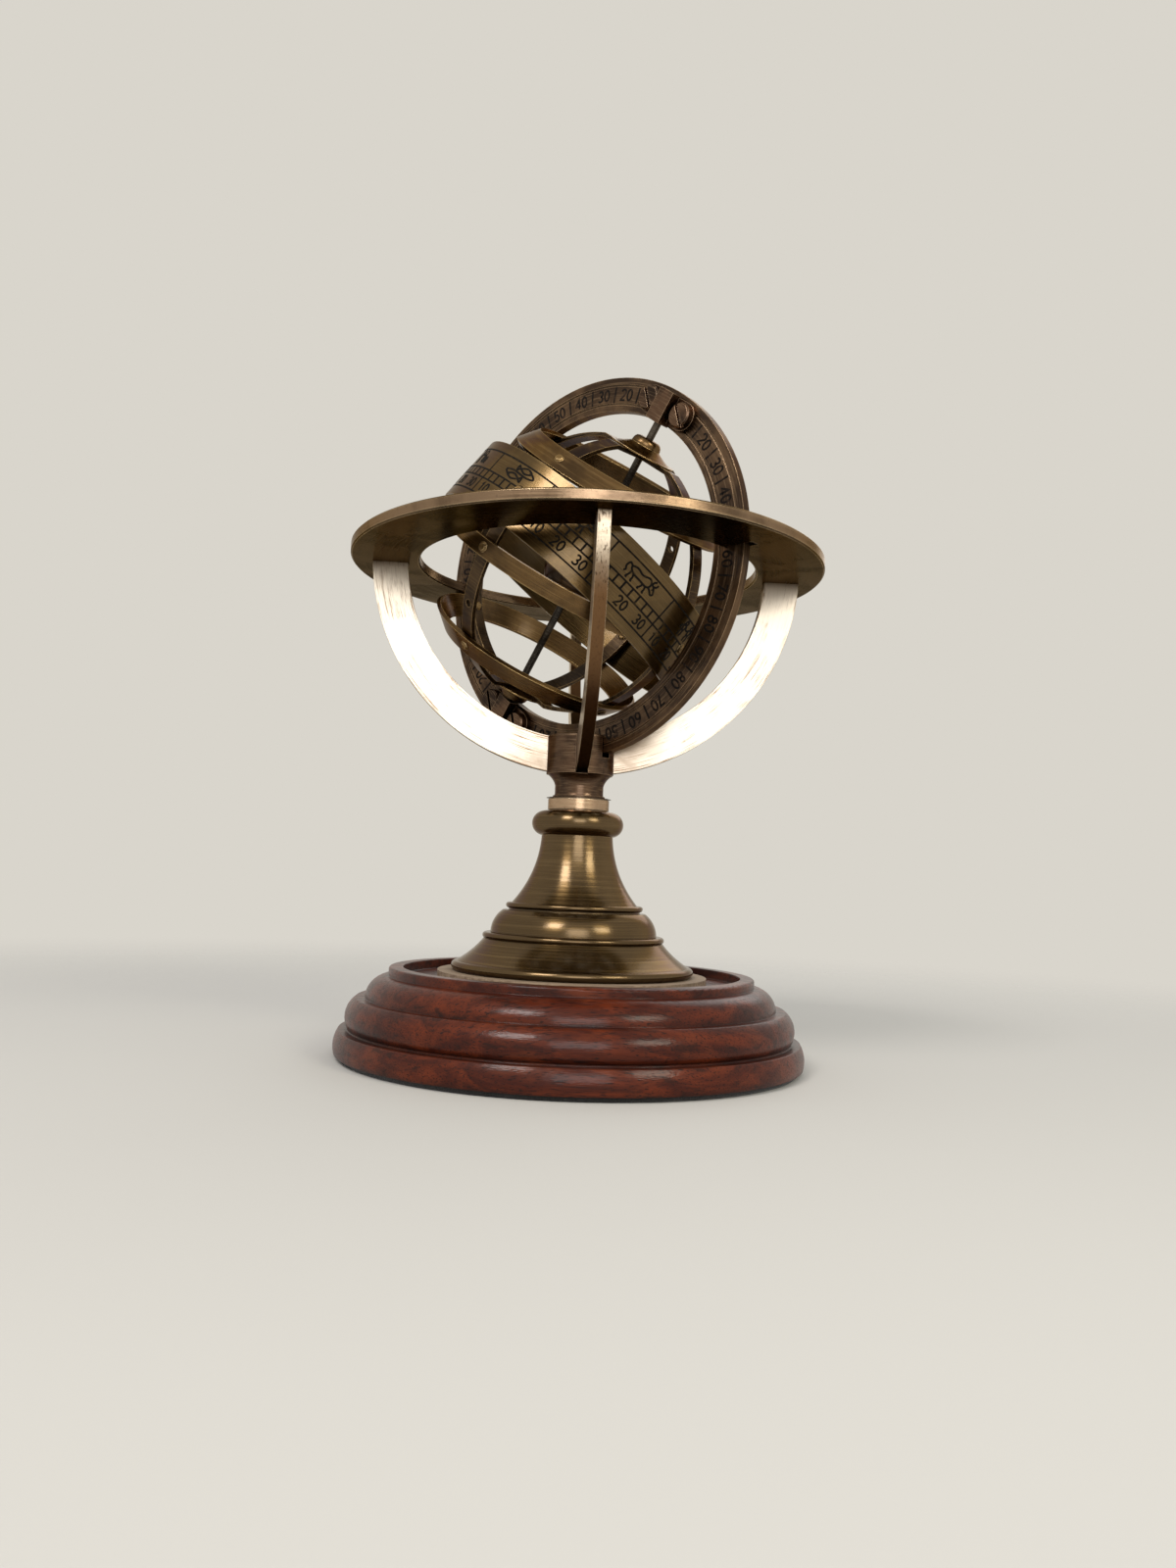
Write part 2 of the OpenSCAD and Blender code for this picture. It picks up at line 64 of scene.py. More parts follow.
def basis(origin, x, y, z):
    """A frame with these three axes at origin, as a 4 by 4 matrix."""
    turned = Matrix((x, y, z)).transposed().to_4x4()
    turned.translation = origin
    return turned


INTO_DIAL = Vector(joint("meridian_slide")["axis"]).normalized()
POLE = Vector(joint("cage_spin")["axis"]).normalized()
ACROSS = INTO_DIAL.cross(POLE)

# The dial's frame looks out of its face, with the north pole along Y
DIAL = basis(Vector(joint("meridian_slide")["pos_m"]), ACROSS, POLE, -INTO_DIAL)
# The cage's frame has the pole along Z, and the start of its longitudes along -Y
CAGE = basis(Vector(joint("cage_spin")["pos_m"]), ACROSS, INTO_DIAL, POLE)
CAGE = CAGE @ Matrix.Rotation(CAGE_TURN, 4, "Z")
ZODIAC = CAGE @ Matrix.Rotation(-ZODIAC_TILT, 4, "X")
STAND = Matrix.Identity(4)


def reach(node, axes):
    """Smallest and largest distance of a CAD node from the Z axis of axes, and its highest Z, in mm."""
    to_axes = axes.inverted()
    places = [to_axes @ v.co for v in NODES[node].data.vertices]
    radii = [math.hypot(p.x, p.y) for p in places]
    return min(radii) / MM, max(radii) / MM, max(p.z for p in places) / MM


# Materials


def rgb(code):
    """Linear colour of a six digit code."""
    parts = [int(code[i:i + 2], 16) / 255 for i in (1, 3, 5)]
    return tuple(c / 12.92 if c <= 0.04045 else ((c + 0.055) / 1.055) ** 2.4 for c in parts) + (1.0,)


class Shader:
    """A material, with short calls for the nodes that the recipes below share."""

    def __init__(self, name, **sockets):
        self.material = bpy.data.materials.new(name)
        self.material.use_nodes = True
        self.tree = self.material.node_tree
        self.surface = self.tree.nodes["Principled BSDF"]
        self.place = self.tree.nodes.new("ShaderNodeTexCoord").outputs["Object"]
        self.normal = self.tree.nodes.new("ShaderNodeNewGeometry").outputs["Normal"]
        for socket, value in sockets.items():
            self.surface.inputs[socket.replace("_", " ")].default_value = value

    def node(self, kind, inputs=(), **settings):
        made = self.tree.nodes.new("ShaderNode" + kind)
        for key, value in settings.items():
            setattr(made, key, value)
        for key, value in dict(inputs).items():
            if isinstance(value, bpy.types.NodeSocket):
                self.tree.links.new(value, made.inputs[key])
            else:
                made.inputs[key].default_value = value
        return made

    def math(self, operation, a, b=0.0, clamp=False):
        return self.node("Math", {0: a, 1: b}, operation=operation, use_clamp=clamp).outputs[0]

    def vector(self, operation, a, b=(0, 0, 0)):
        made = self.node("VectorMath", {0: a, 1: b}, operation=operation)
        return made.outputs["Value" if operation in ("DOT_PRODUCT", "LENGTH") else "Vector"]

    def combine(self, x, y, z):
        return self.node("CombineXYZ", {0: x, 1: y, 2: z}).outputs[0]

    def noise(self, vector, scale, detail=3.0, rough=0.55, distort=0.0):
        made = self.node("TexNoise", {"Vector": vector, "Scale": scale, "Detail": detail, "Roughness": rough,
                                      "Distortion": distort})
        return made.outputs["Fac"]

    def fade(self, value, low, high, start=0.0, end=1.0):
        """value from low to high becomes start to end, smoothly and held at both ends."""
        made = self.node("MapRange", {"Value": value, "From Min": low, "From Max": high, "To Min": start,
                                      "To Max": end}, interpolation_type="SMOOTHSTEP")
        return made.outputs["Result"]

    def mix(self, share, a, b, blend="MIX"):
        made = self.node("Mix", {"Factor": share}, data_type="RGBA", blend_type=blend)
        for key, value in ((6, a), (7, b)):
            if isinstance(value, bpy.types.NodeSocket):
                self.tree.links.new(value, made.inputs[key])
            else:
                made.inputs[key].default_value = value
        return made.outputs[2]

    def stretched(self, x, y, z):
        """Object coordinates with a separate number of features per metre along each axis."""
        return self.vector("MULTIPLY", self.place, (x, y, z))

    def round_axis(self, axes, turns, lines):
        """Coordinates whose noise makes streaks round the Z axis of axes.

        turns sets how often a streak ends on its way round, lines how many lie side by side in a millimetre.
        """
        from_axis = self.vector("SUBTRACT", self.place, tuple(axes.translation))
        x, y, z = (self.vector("DOT_PRODUCT", from_axis, tuple(axes.col[i].to_3d())) for i in range(3))
        radius = self.math("MAXIMUM", self.vector("LENGTH", self.combine(x, y, 0.0)), 0.0001)
        ways = [self.math("MULTIPLY", self.math("DIVIDE", c, radius), turns) for c in (x, y)]
        across = self.math("MULTIPLY", self.math("ADD", radius, self.math("MULTIPLY", z, 1.37)), lines / MM)
        return self.combine(ways[0], ways[1], across)

    def edges(self, radius):
        """1 at an edge of the piece, 0 away from it."""
        rounded = self.node("Bevel", {"Radius": radius * MM}, samples=6).outputs[0]
        return self.fade(self.vector("DOT_PRODUCT", rounded, self.normal), 0.995, 0.86)

    def hollows(self, distance):
        """Mask for painted shade: 1 deep in a corner or under a neighbour, 0 in the open."""
        open_share = self.node("AmbientOcclusion", {"Distance": distance * MM}, samples=8).outputs["AO"]
        return self.fade(open_share, 0.85, 0.25)

    def paint(self, colour, rough=None, bumps=(), soft_edge=0.15):
        """Links the colour, the roughness, and the bumps as (height, depth in mm), over softened edges."""
        self.tree.links.new(colour, self.surface.inputs["Base Color"])
        if rough is not None:
            self.tree.links.new(rough, self.surface.inputs["Roughness"])
        normal = self.node("Bevel", {"Radius": soft_edge * MM}, samples=6).outputs[0]
        for height, depth in bumps:
            bump = self.node("Bump", {"Height": height, "Distance": depth * MM, "Normal": normal})
            normal = bump.outputs[0]
        for socket in ("Normal", "Coat Normal"):
            self.tree.links.new(normal, self.surface.inputs[socket])
        return self.material


# Tarnished metal reflects less at a glancing angle than clean metal does
GLANCE = rgb("#b8a48c")


def metal(name, bright, body, dark, rough, axes, turns=3.0, lines=3.0, rub_and_glint=0.7, streak=0.35, patches=90.0,
          mottle=1.0, turned=0.0, coat=0.25):
    """Aged lacquered metal brushed round an axis: patina and painted shade in corners, edges rubbed bright
    and given a painted highlight, patchy, finely scratched.

    mottle is the share of the tarnish patches, turned how far highlights stretch across lathe marks about Z.
    """
    s = Shader(name, Metallic=1.0, Roughness=rough, Coat_Weight=coat, Coat_Roughness=0.16, Anisotropic=turned,
               Anisotropic_Rotation=0.25, Specular_Tint=GLANCE)
    if turned:
        around = s.node("Tangent", direction_type="RADIAL", axis="Z").outputs[0]
        s.tree.links.new(around, s.surface.inputs["Tangent"])
    along = s.round_axis(axes, turns, lines)
    brushing = s.noise(along, 1.0, 4.0, 0.6)
    tarnish = s.noise(s.place, patches, 5.0, 0.62, 0.4)
    specks = s.noise(s.place, 2200.0, 2.0, 0.5)
    shade = s.math("MULTIPLY", s.fade(tarnish, 0.62, 0.40), mottle)
    colour = s.mix(shade, rgb(body), rgb(dark))
    colour = s.mix(s.math("MULTIPLY", s.fade(brushing, 0.48, 0.72), streak), colour, rgb(bright))
    # Edges lightened: partly rubbed bright, partly a painted highlight.
    rubbed_or_glinting_edges = s.math("MULTIPLY", s.edges(0.3), s.math("MULTIPLY", s.fade(tarnish, 0.30, 0.55, 0.45, 1.0), rub_and_glint))
    colour = s.mix(rubbed_or_glinting_edges, colour, rgb(bright))
    # Patina and painted shade darken corners and places under neighbours.
    colour = s.mix(s.math("MULTIPLY", s.hollows(2.2), 0.75), colour, s.mix(0.55, rgb(dark), rgb("#120d08")))
    colour = s.mix(s.fade(specks, 0.62, 0.78, 0.0, 0.35), colour, rgb(dark))
    gloss = s.math("ADD", s.fade(tarnish, 0.35, 0.65, rough + 0.08 * mottle, rough),
                   s.fade(brushing, 0.3, 0.7, -0.03, 0.04))
    return s.paint(colour, gloss, [(brushing, 0.006), (tarnish, 0.02 * mottle), (specks, 0.008)])


def horizon_metal(name):
    """Brown with golden rubbed patches on top, a painted highlight on the upright outer edge, and painted
    shade underneath.
    """
    s = Shader(name, Metallic=1.0, Roughness=0.24, Specular_Tint=rgb("#c2b8ab"))
    along = s.round_axis(STAND, 2.0, 2.6)
    brushing = s.noise(along, 1.0, 4.0, 0.6)
    tarnish = s.noise(s.place, 70.0, 5.0, 0.62, 0.5)
    specks = s.noise(s.place, 1800.0, 2.0, 0.5)
    down = s.vector("DOT_PRODUCT", s.normal, (0, 0, -1))
    # Painted shade underneath: faces that look down are mixed towards the darker colours below.
    under = s.fade(down, 0.4, 0.9)
    # Mask of the upright faces that get the painted highlight.
    rim = s.fade(s.math("ABSOLUTE", down), 0.75, 0.4)
    colour = s.mix(s.fade(tarnish, 0.38, 0.62), rgb("#463627"), rgb("#6c563f"))
    colour = s.mix(s.math("MULTIPLY", s.fade(brushing, 0.48, 0.72), 0.35), colour, rgb("#b39874"))
    # Painted highlight on the upright outer edge, patchy with the tarnish.
    colour = s.mix(s.math("MULTIPLY", rim, s.fade(tarnish, 0.3, 0.6, 0.15, 0.5)), colour, rgb("#ab9076"))
    # Painted shade: the dark colours for faces that look down.
    low = s.mix(s.fade(tarnish, 0.40, 0.60), rgb("#241d16"), rgb("#40342a"))
    colour = s.mix(under, colour, low)
    # Edges lightened: partly rubbed bright, partly a painted highlight.
    rubbed_or_glinting_edges = s.math("MULTIPLY", s.edges(0.35), s.fade(brushing, 0.35, 0.6, 0.35, 0.95))
    colour = s.mix(rubbed_or_glinting_edges, colour, rgb("#ecd2a8"))
    # Patina and painted shade in corners and under neighbours.
    colour = s.mix(s.math("MULTIPLY", s.hollows(2.5), 0.8), colour, rgb("#1c130c"))
    colour = s.mix(s.fade(specks, 0.62, 0.78, 0.0, 0.4), colour, rgb("#2c2015"))
    gloss = s.math("ADD", s.fade(tarnish, 0.35, 0.65, 0.30, 0.20), s.fade(brushing, 0.3, 0.7, -0.04, 0.05))
    return s.paint(colour, gloss, [(brushing, 0.006), (tarnish, 0.02), (specks, 0.01)])


# The rims of the arms' faces, as distances from the middle of their arc
ARM_INNER_RIM = (40.0 * MM, 39.0 * MM)
ARM_OUTER_RIM = (45.5 * MM, 46.3 * MM)


def worn_arms(name, bright, body, dark):
    """Faces rubbed to pale metal, with brown streaks along the quarter arms, brown outer edges, and brown
    ends whose top is partly a painted shadow of the ring.
    """
    s = Shader(name, Metallic=1.0, Roughness=0.3, Specular_Tint=rgb("#e0d2be"))
    middle = Vector((0, 0, RING_TOP * MM))
    from_middle = s.vector("SUBTRACT", s.place, tuple(middle))
    radius = s.vector("LENGTH", from_middle)
    way = s.vector("NORMALIZE", from_middle)
    split = s.node("SeparateXYZ", {0: way})
    aside = s.math("ADD", split.outputs[0], s.math("MULTIPLY", split.outputs[1], 2.3))
    along = s.combine(s.math("MULTIPLY", radius, 3400.0), s.math("MULTIPLY", split.outputs[2], 5.0),
                      s.math("MULTIPLY", aside, 2.2))
    streaks = s.noise(along, 1.0, 5.0, 0.65, 0.2)
    hairs = s.noise(s.vector("MULTIPLY", along, (2.6, 2.0, 2.0)), 1.0, 3.0, 0.6)
    patches = s.noise(s.place, 110.0, 4.0, 0.6, 0.5)
    pits = s.noise(s.stretched(2600.0, 2600.0, 650.0), 1.0, 3.0, 0.65)
    # 0 where the arm leaves the hub, 1 where it meets the ring
    climb = s.math("ADD", 1.0, split.outputs[2])
    # Browner ends: a brown tone by the hub, and a painted shadow of the horizon ring at the top.
    ends = s.math("MAXIMUM", s.fade(climb, 0.12, 0.02), s.fade(climb, 0.90, 0.96))
    on_edge = s.fade(s.math("ABSOLUTE", s.vector("DOT_PRODUCT", s.normal, way)), 0.25, 0.75)
    rims = s.math("MAXIMUM", s.fade(radius, *ARM_INNER_RIM), s.fade(radius, *ARM_OUTER_RIM))
    brown_hairs = s.math("MULTIPLY", s.fade(hairs, 0.52, 0.66), 0.8)
    brown = s.math("MAXIMUM", s.fade(streaks, 0.53, 0.65), brown_hairs)
    less_worn_or_shadowed = s.math("ADD", s.math("MULTIPLY", rims, 0.5), s.math("MULTIPLY", ends, 0.7))
    here = s.math("ADD", s.fade(patches, 0.42, 0.60, 0.12, 0.85), less_worn_or_shadowed)
    brown = s.math("MULTIPLY", brown, here, clamp=True)
    brown = s.math("MAXIMUM", brown, s.math("MULTIPLY", ends, s.fade(patches, 0.35, 0.6, 0.6, 0.2)))
    colour = s.mix(brown, rgb(bright), rgb(body))
    # The edges turn from pale at the ring to dark brown at the hub
    edge_colour = s.mix(s.fade(climb, 0.02, 0.50), rgb(dark), rgb("#75573b"))
    edge_colour = s.mix(s.math("MULTIPLY", s.fade(climb, 0.62, 0.88), s.fade(streaks, 0.36, 0.6, 0.35, 0.9)),
                        edge_colour, rgb("#dccdb6"))
    colour = s.mix(on_edge, colour, edge_colour)
    pitted = s.math("MULTIPLY", on_edge, s.fade(climb, 0.5, 0.8, 0.3, 0.85))
    colour = s.mix(s.math("MULTIPLY", s.fade(pits, 0.54, 0.64), pitted), colour, rgb(dark))
    # Edges lightened: partly rubbed bright, partly a painted highlight.
    colour = s.mix(s.math("MULTIPLY", s.edges(0.22), 0.6), colour, rgb("#e9d3b2"))
    up = s.vector("DOT_PRODUCT", s.normal, (0, 0, 1))
    colour = s.mix(s.fade(up, 0.9, 0.99), colour, rgb("#705840"))
    # Patina and painted shade in corners, such as the hub's slots.
    colour = s.mix(s.math("MULTIPLY", s.hollows(2.5), 0.6), colour, rgb(dark))
    gloss = s.fade(brown, 0.0, 1.0, 0.30, 0.38)
    edge_pits = s.math("MULTIPLY", pits, on_edge)
    return s.paint(colour, gloss, [(streaks, 0.015), (hairs, 0.006), (edge_pits, 0.05)])


def rosewood(name):
    """Varnished reddish wood turned from a board whose grain runs left to right, with near-black streaks."""
    s = Shader(name, Roughness=0.5, Coat_Weight=0.3, Coat_Roughness=0.11, Specular_IOR_Level=0.1)
    warp = s.noise(s.place, 26.0, 2.0, 0.5)
    sway = s.combine(warp, s.math("MULTIPLY", warp, 4.0), warp)
    bent = s.vector("ADD", s.stretched(24.0, 150.0, 240.0), sway)
    figure = s.noise(bent, 1.0, 5.0, 0.66, 0.9)
    cloud = s.noise(s.stretched(60.0, 90.0, 120.0), 1.0, 4.0, 0.6, 0.6)
    veins = s.noise(s.stretched(20.0, 420.0, 520.0), 1.0, 4.0, 0.62, 0.5)
    pores = s.noise(s.stretched(380.0, 4200.0, 4200.0), 1.0, 2.0, 0.5)
    colour = s.mix(s.fade(figure, 0.34, 0.66), rgb("#381107"), rgb("#60260f"))
    colour = s.mix(s.fade(cloud, 0.50, 0.70, 0.0, 0.5), colour, rgb("#723519"))
    colour = s.mix(s.fade(cloud, 0.46, 0.32, 0.0, 0.45), colour, rgb("#2c110a"))
    colour = s.mix(s.fade(veins, 0.54, 0.66, 0.0, 0.7), colour, rgb("#1f0b06"))
    colour = s.mix(s.fade(pores, 0.56, 0.66, 0.0, 0.85), colour, rgb("#190805"))
    # Painted shade in the base's recess and in the grooves between its mouldings.
    colour = s.mix(s.math("MULTIPLY", s.hollows(4.0), 0.85), colour, rgb("#120604"))
    gloss = s.fade(pores, 0.45, 0.7, 0.36, 0.55)
    return s.paint(colour, gloss, [(pores, 0.03), (veins, 0.025), (figure, 0.05)], soft_edge=0.4)


def bare_wood(name):
    """Pale unvarnished wood with a fine grain."""
    s = Shader(name, Roughness=0.75)
    grain = s.noise(s.stretched(60.0, 1500.0, 1500.0), 1.0, 4.0, 0.6, 0.3)
    stain = s.noise(s.place, 160.0, 3.0, 0.6)
    colour = s.mix(s.fade(grain, 0.35, 0.65), rgb("#7c6753"), rgb("#a08b72"))
    colour = s.mix(s.fade(stain, 0.5, 0.7, 0.0, 0.5), colour, rgb("#75634c"))
    return s.paint(colour, None, [(grain, 0.05)])


def felt(name):
    """Matt black felt with short fibres."""
    s = Shader(name, Roughness=1.0, Sheen_Weight=0.35, Sheen_Roughness=0.6)
    fibres = s.noise(s.place, 2600.0, 3.0, 0.7, 1.2)
    clumps = s.noise(s.place, 420.0, 2.0, 0.5)
    colour = s.mix(s.fade(fibres, 0.35, 0.7), rgb("#0f0e0d"), rgb("#2b2927"))
    colour = s.mix(s.fade(clumps, 0.5, 0.75, 0.0, 0.4), colour, rgb("#3a3633"))
    return s.paint(colour, None, [(fibres, 0.15)])


def ink(name, dark, soft):
    """Black wax in engraved lines, uneven, with a little metal showing through."""
    s = Shader(name, Roughness=0.8, Specular_IOR_Level=0.15)
    gaps = s.noise(s.place, 900.0, 3.0, 0.6)
    colour = s.mix(s.fade(gaps, 0.52, 0.72, 0.0, 0.6), rgb(dark), rgb(soft))
    return s.paint(colour, None, [(gaps, 0.02)], soft_edge=0.05)


def dress(material, *nodes):
    """Gives CAD nodes this material."""
    for name in nodes:
        piece = NODES[name]
        if not piece.material_slots:
            piece.data.materials.append(material)
        for slot in piece.material_slots:
            slot.material = material


RING_TOP = reach("horizon_ring", STAND)[2]
ROD = CAGE.copy()
ROD.translation = Vector(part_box("polar_rod")[0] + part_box("polar_rod")[1]) / 2

dress(felt("black_felt"), "felt_pad")
dress(rosewood("rosewood"), "wooden_base")
dress(bare_wood("pale_wood"), "seat_disc")
dress(metal("steel", "#d9d6cd", "#9a978f", "#5d5a55", 0.34, STAND),
      "base_washer", "base_nut", "tie_rod")
dress(metal("olive_brass", "#c6a878", "#665030", "#3f3019", 0.22, STAND, turns=0.5, lines=14.0, streak=0.2,
            patches=22.0, mottle=0.45, turned=0.7, coat=0.45),
      "pedestal_foot", "pedestal_stem")
dress(metal("bright_brass", "#f0dcb8", "#b8997a", "#7a6048", 0.26, STAND, turns=1.5, lines=5.0, mottle=0.6,
            turned=0.5, coat=0.5),
      "collar")
dress(metal("rivet_brass", "#dcc294", "#8a6e45", "#4a3820", 0.28, CAGE),
      "cage_rivets")
dress(metal("hub_bronze", "#a98d70", "#5a4433", "#2b1f17", 0.3, STAND, turns=1.5, lines=4.0, turned=0.3),
      "hub")
dress(worn_arms("worn_brass", "#ddd1c0", "#7d5f45", "#412f21"),
      "cradle_arm_front", "cradle_arm_right", "cradle_arm_back", "cradle_arm_left")
dress(horizon_metal("ring_brass"), "horizon_ring")
dress(metal("dial_bronze", "#ad9070", "#67503b", "#3b2c21", 0.32, DIAL, turns=4.0, lines=3.0, streak=0.3,
            rub_and_glint=0.9),
      "meridian_ring")
dress(metal("clamp_bronze", "#b79a7c", "#624937", "#2e2119", 0.32, DIAL, turns=6.0),
      "north_clamp", "south_clamp", "clamp_screws")
dress(metal("rod_steel", "#a39a8c", "#544c43", "#2c2722", 0.3, ROD, turns=1.0, lines=5.0),
      "polar_rod")
dress(metal("ball_bronze", "#82603a", "#46321e", "#22180e", 0.33, CAGE, turns=1.5, lines=1.5),
      "earth_ball")
dress(metal("colure_bronze", "#a98c62", "#4b3a28", "#281d13", 0.32, CAGE, rub_and_glint=0.9),
      "solstice_colure", "equinox_colure")
dress(metal("band_brass", "#cbaa74", "#6e5432", "#3b2b18", 0.26, CAGE, turns=2.0, lines=4.0, streak=0.18,
            patches=60.0, mottle=0.8, rub_and_glint=0.95),
      "equator_ring", "north_tropic_ring", "south_tropic_ring", "north_cap", "south_cap")
dress(metal("zodiac_brass", "#b39866", "#655030", "#382b17", 0.28, ZODIAC, turns=2.5, lines=3.5, streak=0.14,
            patches=55.0, mottle=0.55, coat=0.35),
      "zodiac_band")


# Engraving: strokes in millimetres on a plane or a band, laid on the metal as thin dark lines


def arc(x, y, rx, ry, start=0, end=360, steps=14):
    """Points of part of an oval, in degrees from +X towards +Y."""
    angles = [math.radians(start + (end - start) * i / steps) for i in range(steps + 1)]
    return [(x + rx * math.cos(a), y + ry * math.sin(a)) for a in angles]


def smooth(points, steps=4):
    """A smooth curve through all the points."""
    ends = [points[0]] + list(points) + [points[-1]]
    if points[0] == points[-1]:
        ends = [points[-2]] + list(points) + [points[1]]
    curve = []
    for p, q, r, s in zip(ends, ends[1:], ends[2:], ends[3:]):
        for i in range(steps):
            t = i / steps
            curve.append(tuple(0.5 * (2 * b + (c - a) * t + (2 * a - 5 * b + 4 * c - d) * t * t
                                      + (3 * b - a - 3 * c + d) * t ** 3) for a, b, c, d in zip(p, q, r, s)))
    return curve + [points[-1]]


def moved(lines, x, y, angle=0.0, scale=1.0):
    """Lines scaled, turned clockwise by angle in degrees and moved to x, y."""
    c, s = math.cos(math.radians(angle)), math.sin(math.radians(angle))
    return [[(x + scale * (c * u + s * v), y + scale * (c * v - s * u)) for u, v in line] for line in lines]


# Numerals in a cell one high and NUMERAL_WIDTH wide, set NUMERAL_PITCH apart
NUMERAL_WIDTH = 0.6
NUMERAL_PITCH = 0.78
NUMERALS = {
    "0": [arc(0.3, 0.5, 0.27, 0.5)],
    "1": [[(0.12, 0.78), (0.34, 1.0), (0.34, 0.0)]],
    "2": [arc(0.3, 0.72, 0.26, 0.28, 165, -40, 9) + [(0.04, 0.0), (0.58, 0.0)]],
    "3": [arc(0.28, 0.75, 0.24, 0.25, 150, -90, 9) + arc(0.28, 0.25, 0.28, 0.25, 90, -150, 10)],
    "4": [[(0.44, 0.0), (0.44, 1.0), (0.02, 0.3), (0.6, 0.3)]],
    "5": [[(0.54, 1.0), (0.12, 1.0), (0.08, 0.54)] + arc(0.28, 0.32, 0.28, 0.32, 125, -150, 10)],
    "6": [arc(0.3, 0.3, 0.26, 0.3), arc(0.62, 0.32, 0.58, 0.68, 110, 178, 6)],
    "7": [[(0.02, 1.0), (0.58, 1.0), (0.22, 0.0)]],
    "8": [arc(0.3, 0.76, 0.21, 0.24), arc(0.3, 0.27, 0.27, 0.27)],
    "9": [arc(0.3, 0.7, 0.26, 0.3), arc(-0.02, 0.68, 0.58, 0.68, -70, -2, 6)],
}


def number(text, height):
    """A whole number as strokes, centred on the origin."""
    width = NUMERAL_PITCH * (len(text) - 1) + NUMERAL_WIDTH
    lines = []
    for i, digit in enumerate(text):
        lines += moved(NUMERALS[digit], i * NUMERAL_PITCH - width / 2, -0.5)
    return moved(lines, 0, 0, 0, height)


def stepped(points, step=0.9):
    """The same line with extra points, so that it follows a curved surface."""
    full = [Vector(points[0])]
    for p, q in zip(points, points[1:]):
        p, q = Vector(p), Vector(q)
        count = max(1, math.ceil((q - p).length / step))
        full += [p.lerp(q, (i + 1) / count) for i in range(count)]
    return full


# A sharp corner's mitre is cut as if the line leaned no further than this cosine
MITRE_LIMIT = 0.6


def ribbon(points, width):
    """Left and right edge of a stroke along the points, with mitred corners."""
    left, right = [], []
    for i, p in enumerate(points):
        come = (p - points[i - 1]).normalized() if i else Vector((0, 0))
        go = (points[i + 1] - p).normalized() if i < len(points) - 1 else Vector((0, 0))
        way = (come + go).normalized() if (come + go).length > 0.1 else (go if i == 0 else come)
        side = Vector((-way.y, way.x))
        ahead = go if go.length else come
        lean = max(abs(side.dot(Vector((-ahead.y, ahead.x)))), MITRE_LIMIT)
        left.append(p + side * width / 2 / lean)
        right.append(p - side * width / 2 / lean)
    return left, right


def engrave(name, strokes, place, body, material):
    """One piece of (line, width) strokes in millimetres, on the surface that place(point, height) gives."""
    verts, faces = [], []
    for line, width in strokes:
        points = stepped(line)
        left, right = ribbon(points, width)
        start = len(verts)
        for a, b in zip(left, right):
            verts += [place(a, PROUD), place(b, PROUD), place(b, -SUNK), place(a, -SUNK)]
        for i in range(len(points) - 1):
            k = start + 4 * i
            faces += [[k + j, k + 4 + j, k + 4 + (j + 1) % 4, k + (j + 1) % 4] for j in range(4)]
        end = start + 4 * (len(points) - 1)
        faces += [[start, start + 1, start + 2, start + 3], [end + 3, end + 2, end + 1, end]]
    mesh = bpy.data.meshes.new(name)
    mesh.from_pydata(verts, [], faces)
    mesh.validate()
    mesh.update()
    mesh.materials.append(material)
    piece = bpy.data.objects.new(name, mesh)
    bpy.context.scene.collection.objects.link(piece)
    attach(piece, body)
    return piece


# The dial on the meridian ring

DIAL_FACE = reach("meridian_ring", DIAL)[2]
DIAL_IN = reach("meridian_ring", DIAL)[0] + 1.8
DIAL_OUT = reach("meridian_ring", DIAL)[1] - 2.0
DIAL_MIDDLE = (DIAL_IN + DIAL_OUT) / 2
DIAL_NUMBER = 2.3
DIAL_NUMBER_LINE = 0.42
DIAL_BAR_LINE = 0.4


def on_dial(point, height):
    return DIAL @ (Vector((point[0], point[1], DIAL_FACE + height)) * MM)


def dial_strokes():
    """Degrees from each pole to the equator, twice on each side, with a bar between two numbers."""
    strokes = []
    for side in (-1, 1):
        for degree in range(20, 161, 10):
            label = number(str(90 - abs(90 - degree)), DIAL_NUMBER)
            a = math.radians(side * degree)
            x, y = DIAL_MIDDLE * math.sin(a), DIAL_MIDDLE * math.cos(a)
            strokes += [(line, DIAL_NUMBER_LINE) for line in moved(label, x, y, side * degree)]
        for degree in range(15, 166, 10):
            a = math.radians(side * degree)
            bar = [(r * math.sin(a), r * math.cos(a)) for r in (DIAL_IN, DIAL_OUT)]
            strokes.append((bar, DIAL_BAR_LINE))
    return strokes


# The zodiac band: borders, a ladder scale, a figure and a scale of numbers in each of twelve fields

BAND_R = reach("zodiac_band", ZODIAC)[1]
FIELDS = 12
FIELD = 2 * math.pi * BAND_R / FIELDS
FIELD_START = 10 / 30
RUNGS = 8
TOP_LINE, FIGURE_LINE, LADDER_TOP, LADDER_LOW, LOW_LINE = 5.0, 2.85, 0.4, -1.5, -4.95
FIGURE_SIZE = 0.92
FIELD_NUMBERS = ("10", "20", "30")
FIELD_NUMBER = 2.0
BORDER_LINE = 0.34
RUNG_LINE = 0.42
DRAWN_LINE = 0.4
FIELD_NUMBER_LINE = 0.38


def on_band(point, height):
    turn = point[0] / BAND_R
    out = BAND_R + height
    return ZODIAC @ (Vector((out * math.sin(turn), -out * math.cos(turn), point[1])) * MM)


def mirrored(lines):
    """The lines and their mirror images left of the middle."""
    return lines + [[(-u, v) for u, v in line] for line in lines]


FEET = -1.9


def legs(*hips):
    """Short bent legs down to the feet line, from (hip x, hip y, foot x)."""
    lines = []
    for x, y, foot in hips:
        knee = ((x + foot) / 2 + 0.15, (y + FEET) / 2)
        lines.append(smooth([(x, y), knee, (foot, FEET), (foot + 0.35, FEET)]))
    return lines


